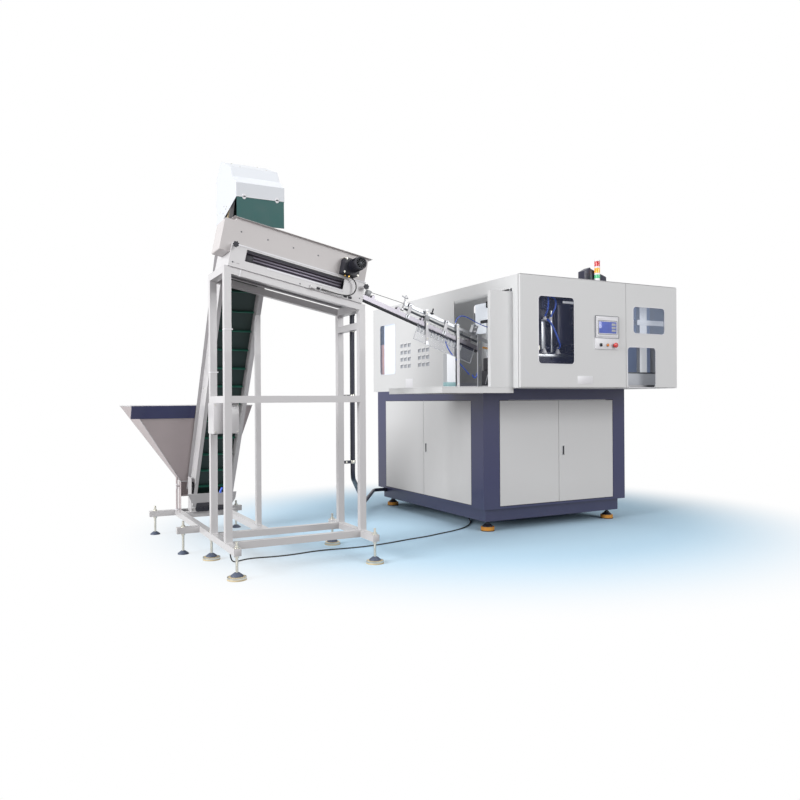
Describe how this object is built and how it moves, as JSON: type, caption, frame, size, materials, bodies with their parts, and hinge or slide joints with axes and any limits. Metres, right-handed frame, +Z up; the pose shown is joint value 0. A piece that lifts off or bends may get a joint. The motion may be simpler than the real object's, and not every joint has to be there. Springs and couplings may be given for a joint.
{
  "type": "blow moulding machine",
  "caption": "Linear stretch blow moulding machine with guarded enclosure, mould clamp, and a hopper, cleated elevator, roller trough and chute that feed preforms.",
  "frame": {"origin": "on the floor, under the middle of the line's bounding box", "axes": "+X along the front from the feeder to the machine, +Y from the front to the back, +Z up"},
  "size_m": [4.675, 2.9048, 3.02],
  "materials": {
    "navy_paint": "satin blue-grey enamel",
    "light_paint": "textured light grey enamel",
    "warm_white_paint": "satin warm white enamel",
    "dark_paint": "satin dark enamel",
    "bare_steel": "brushed",
    "ground_steel": "ground and plated",
    "extruded_aluminium": "natural anodised",
    "mould_aluminium": "milled",
    "belt_rubber": "matt green belting",
    "curtain_sheet": "flexible green strip",
    "clear_panel": "clear polycarbonate",
    "foot_rubber": "moulded black rubber",
    "beige_plastic": "moulded beige",
    "black_plastic": "moulded black",
    "black_metal": "black enamelled casting",
    "preform_plastic": "translucent white",
    "control_plate": "light grey",
    "switch_plastic": "black",
    "button_plastic": "orange",
    "stop_plastic": "red",
    "lamp_plastic": "tinted lamp tiers",
    "cable_rubber": "black sheath",
    "hose_plastic": "blue tube",
    "conduit_plastic": "dark corrugated conduit"
  },
  "bodies": {
    "line": {"base_frame": "navy_paint", "machine_feet": "foot_rubber", "base_panels": "light_paint", "upper_frame": "light_paint", "left_panel": "light_paint", "rear_cladding": "light_paint", "roof_panel": "light_paint", "loading_cowl": "light_paint", "signal_tower": "lamp_plastic", "roof_blower": "black_metal", "machine_bed": "bare_steel", "clamp_frame": "dark_paint", "fixed_mould_half": "mould_aluminium", "heating_tunnel": "bare_steel", "inner_guards": "extruded_aluminium", "stand_frame": "warm_white_paint", "stand_feet": "beige_plastic", "elevator_frame": "warm_white_paint", "elevator_belt": "belt_rubber", "drum_bearings": "black_metal", "elevator_hood": "warm_white_paint", "hood_curtain": "curtain_sheet", "hopper": "warm_white_paint", "hopper_rim_board": "navy_paint", "trough_frame": "warm_white_paint", "trough_guard": "warm_white_paint", "roller_gearmotor": "black_metal", "chute_rails": "bare_steel", "chute_guide": "extruded_aluminium", "preforms": "preform_plastic", "side_guard": "clear_panel", "chute_supports": "extruded_aluminium", "control_box": "warm_white_paint", "conduit": "conduit_plastic", "motor_cable": "cable_rubber", "floor_cable": "cable_rubber", "air_hose": "hose_plastic"},
    "left_door_front": {"left_door_front": "light_paint"},
    "left_door_rear": {"left_door_rear": "light_paint"},
    "front_door_left": {"front_door_left": "light_paint"},
    "front_door_right": {"front_door_right": "light_paint"},
    "left_door_latch": {"left_door_latch": "black_plastic"},
    "front_door_latch": {"front_door_latch": "black_plastic"},
    "guard_door": {"front_guard_door": "light_paint", "front_window": "clear_panel", "control_panel": "control_plate"},
    "service_door": {"service_door": "light_paint"},
    "mode_switch": {"mode_switch": "switch_plastic"},
    "start_button": {"start_button": "button_plastic"},
    "emergency_stop": {"emergency_stop": "stop_plastic"},
    "moving_platen": {"moving_platen": "dark_paint", "moving_mould_half": "mould_aluminium"},
    "stretch_carriage": {"stretch_carriage": "bare_steel"},
    "head_drum": {"head_drum": "bare_steel"},
    "tail_drum": {"tail_drum": "bare_steel"},
    "front_roller": {"front_roller": "ground_steel"},
    "rear_roller": {"rear_roller": "ground_steel"},
    "left_star_knob": {"left_star_knob": "black_plastic"},
    "right_star_knob": {"right_star_knob": "black_plastic"},
    "loading_gate": {"loading_gate": "bare_steel"}
  },
  "joints": [
    {"name": "left_front_door_swing", "type": "hinge", "parent": "line", "child": "left_door_front", "pos_m": [0.5215, -0.5945, 0.7135], "axis": [0, 0, 1], "range_deg": [0, 105]},
    {"name": "left_rear_door_swing", "type": "hinge", "parent": "line", "child": "left_door_rear", "pos_m": [0.5215, 1.1285, 0.7135], "axis": [0, 0, -1], "range_deg": [0, 105]},
    {"name": "front_left_door_swing", "type": "hinge", "parent": "line", "child": "front_door_left", "pos_m": [0.7015, -0.7985, 0.7135], "axis": [0, 0, -1], "range_deg": [0, 105]},
    {"name": "front_right_door_swing", "type": "hinge", "parent": "line", "child": "front_door_right", "pos_m": [2.0435, -0.7985, 0.7135], "axis": [0, 0, 1], "range_deg": [0, 105]},
    {"name": "left_latch_lift", "type": "hinge", "parent": "left_door_front", "child": "left_door_latch", "pos_m": [0.5145, 0.226, 0.684], "axis": [0, -1, 0], "range_deg": [0, 50]},
    {"name": "front_latch_lift", "type": "hinge", "parent": "front_door_right", "child": "front_door_latch", "pos_m": [1.4245, -0.8055, 0.684], "axis": [1, 0, 0], "range_deg": [0, 50]},
    {"name": "guard_door_swing", "type": "hinge", "parent": "line", "child": "guard_door", "pos_m": [0.5245, -1.3455, 1.7755], "axis": [0, 0, -1], "range_deg": [0, 105]},
    {"name": "service_door_swing", "type": "hinge", "parent": "line", "child": "service_door", "pos_m": [2.3255, -1.3455, 1.7755], "axis": [0, 0, 1], "range_deg": [0, 105]},
    {"name": "mode_switch_turn", "type": "hinge", "parent": "guard_door", "child": "mode_switch", "pos_m": [1.3815, -1.3665, 1.68], "axis": [0, 1, 0], "range_deg": [0, 90]},
    {"name": "start_button_press", "type": "slide", "parent": "guard_door", "child": "start_button", "axis": [0, 1, 0], "range_m": [0, 0.004], "stiffness_N_per_m": 400},
    {"name": "emergency_stop_press", "type": "slide", "parent": "guard_door", "child": "emergency_stop", "axis": [0, 1, 0], "range_m": [0, 0.004]},
    {"name": "clamp_close", "type": "slide", "parent": "line", "child": "moving_platen", "axis": [1, 0, 0], "range_m": [0, 0.1047]},
    {"name": "carriage_lift", "type": "slide", "parent": "line", "child": "stretch_carriage", "axis": [0, 0, 1], "range_m": [0, 0.04]},
    {"name": "head_drum_turn", "type": "hinge", "parent": "line", "child": "head_drum", "pos_m": [-1.6275, -0.8145, 2.6197], "axis": [1, 0, 0], "continuous": true},
    {"name": "tail_drum_turn", "type": "hinge", "parent": "line", "child": "tail_drum", "pos_m": [-1.6275, 0.4555, 0.42], "axis": [1, 0, 0], "continuous": true},
    {"name": "front_roller_turn", "type": "hinge", "parent": "line", "child": "front_roller", "pos_m": [-1.34894, -1.0075, 2.13898], "axis": [0.9799, 0, -0.1994], "continuous": true},
    {"name": "rear_roller_turn", "type": "hinge", "parent": "line", "child": "rear_roller", "pos_m": [-1.34894, -0.9075, 2.13898], "axis": [0.9799, 0, -0.1994], "continuous": true},
    {"name": "left_knob_turn", "type": "hinge", "parent": "line", "child": "left_star_knob", "pos_m": [-1.83718, -1.2555, 2.28729], "axis": [0, 1, 0], "continuous": true},
    {"name": "right_knob_turn", "type": "hinge", "parent": "line", "child": "right_star_knob", "pos_m": [-0.84479, -1.2555, 2.05886], "axis": [0, 1, 0], "continuous": true},
    {"name": "gate_lift", "type": "slide", "parent": "line", "child": "loading_gate", "axis": [0.3305, 0, 0.9438], "range_m": [0, 0.03]}
  ],
  "couplings": [
    {"joint": "tail_drum_turn", "follows": "head_drum_turn", "ratio": 1},
    {"joint": "rear_roller_turn", "follows": "front_roller_turn", "ratio": -1}
  ]
}
